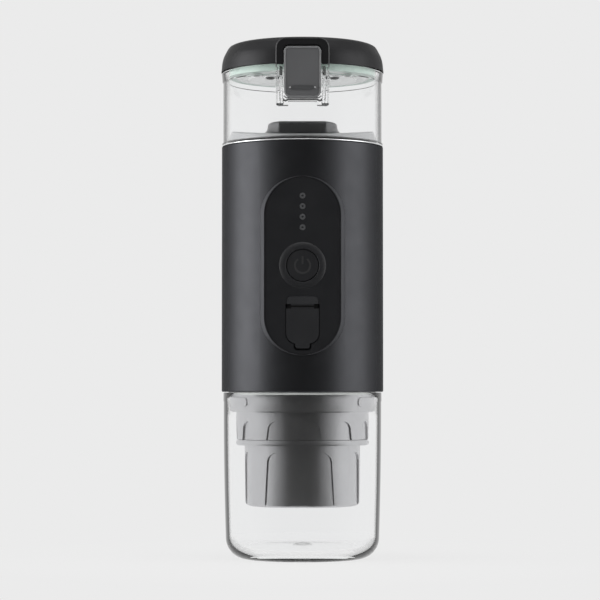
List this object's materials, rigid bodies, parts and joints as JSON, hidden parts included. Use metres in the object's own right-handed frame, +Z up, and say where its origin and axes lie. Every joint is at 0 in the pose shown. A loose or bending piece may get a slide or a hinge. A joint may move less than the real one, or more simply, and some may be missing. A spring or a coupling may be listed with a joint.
{
  "type": "portable espresso maker",
  "caption": "Portable battery espresso maker: water tank with hinged latched lid on top, brewing unit in the middle, clear cup below.",
  "frame": {"origin": "centre of the cup's foot, on the surface it stands on", "axes": "+Z up along the common axis, -Y towards the control panel and latch, +X to the right seen from the front"},
  "size_m": [0.0726, 0.0791, 0.2299],
  "materials": {
    "clear_cup": "clear copolyester, polished",
    "clear_tank": "clear copolyester, polished",
    "body_black": "satin black",
    "panel_black": "smooth satin black",
    "gloss_black": "smooth black",
    "soft_black": "soft black elastomer",
    "seal_black": "black silicone",
    "collar_grey": "dark grey",
    "brew_grey": "dark grey, fine texture",
    "latch_grey": "dark grey, satin",
    "inner_grey": "dark grey",
    "light_guide": "translucent, frosted",
    "frosted_liner": "milky translucent",
    "green_silicone": "pale green silicone",
    "pale_silicone": "translucent silicone",
    "red_silicone": "red silicone",
    "brew_head_white": "ivory",
    "switch_grey": "grey",
    "cell_wrap": "blue film",
    "green_board": "green solder mask",
    "pale_insulator": "ceramic fibre",
    "bare_steel": "stainless steel",
    "basket_steel": "drawn stainless steel",
    "mesh_steel": "etched stainless steel",
    "motor_steel": "plated steel",
    "boiler_metal": "cast aluminium",
    "brass_parts": "brass"
  },
  "bodies": {
    "cup": {"cup": "clear_cup"},
    "machine": {"body_shell": "body_black", "control_panel": "panel_black", "led_light_guide": "light_guide", "port_cover_anchor": "soft_black", "usb_port": "bare_steel", "control_board": "green_board", "tact_switch": "switch_grey", "board_screws": "bare_steel", "chassis": "inner_grey", "battery_cells": "cell_wrap", "battery_tabs": "bare_steel", "battery_clip": "inner_grey", "pump_motor": "motor_steel", "pump_head": "inner_grey", "motor_damper": "seal_black", "boiler": "boiler_metal", "boiler_insulator": "pale_insulator", "heating_element": "brass_parts", "thermostat": "pale_insulator", "temperature_sensor": "brass_parts", "check_valve": "brass_parts", "pressure_pipe": "bare_steel", "inlet_hose": "pale_silicone", "top_cover": "gloss_black", "top_cover_screws": "bare_steel", "tank_seal": "seal_black", "water_tank": "clear_tank", "inlet_filter_cap": "gloss_black", "inlet_filter_screen": "mesh_steel", "hinge_pin": "bare_steel", "bottom_collar": "collar_grey", "cup_seal": "seal_black", "brew_head": "brew_head_white", "brew_head_screws": "bare_steel", "brew_gasket": "red_silicone", "shower_screen": "mesh_steel", "shower_screw": "bare_steel"},
    "lid": {"lid_shell": "gloss_black", "lid_liner": "frosted_liner", "lid_seal": "green_silicone", "latch_pin": "bare_steel"},
    "latch": {"latch": "latch_grey"},
    "brew_ring": {"brew_ring": "brew_grey", "brew_ring_seal": "seal_black"},
    "brew_cap": {"brew_cap": "brew_grey", "coffee_basket": "basket_steel", "basket_mesh": "mesh_steel"},
    "power_button": {"power_button": "panel_black"},
    "port_flap": {"port_flap": "soft_black"},
    "pump_rotor": {"pump_rotor": "motor_steel"}
  },
  "joints": [
    {"name": "machine_lift", "type": "slide", "parent": "cup", "child": "machine", "axis": [0, 0, 1], "range_m": [0, 0.065]},
    {"name": "lid_hinge", "type": "hinge", "parent": "machine", "child": "lid", "pos_m": [0, 0.0369, 0.2152], "axis": [-1, 0, 0], "range_deg": [0, 110]},
    {"name": "latch_hinge", "type": "hinge", "parent": "lid", "child": "latch", "pos_m": [0, -0.038, 0.2213], "axis": [-1, 0, 0], "range_deg": [0, 75]},
    {"name": "button_press", "type": "slide", "parent": "machine", "child": "power_button", "axis": [0, 1, 0], "range_m": [0, 0.0006], "stiffness_N_per_m": 1500, "springref_m": -0.0006},
    {"name": "port_flap_hinge", "type": "hinge", "parent": "machine", "child": "port_flap", "pos_m": [0, -0.03525, 0.111], "axis": [-1, 0, 0], "range_deg": [0, 100], "stiffness_Nm_per_rad": 0.0004},
    {"name": "pump_spin", "type": "hinge", "parent": "machine", "child": "pump_rotor", "pos_m": [0, -0.004, 0.13], "axis": [0, 0, 1], "continuous": true},
    {"name": "brew_ring_twist", "type": "hinge", "parent": "machine", "child": "brew_ring", "pos_m": [0, 0, 0.06], "axis": [0, 0, 1], "range_deg": [0, 40]},
    {"name": "brew_cap_twist", "type": "hinge", "parent": "brew_ring", "child": "brew_cap", "pos_m": [0, 0, 0.05], "axis": [0, 0, 1], "range_deg": [0, 45]}
  ]
}
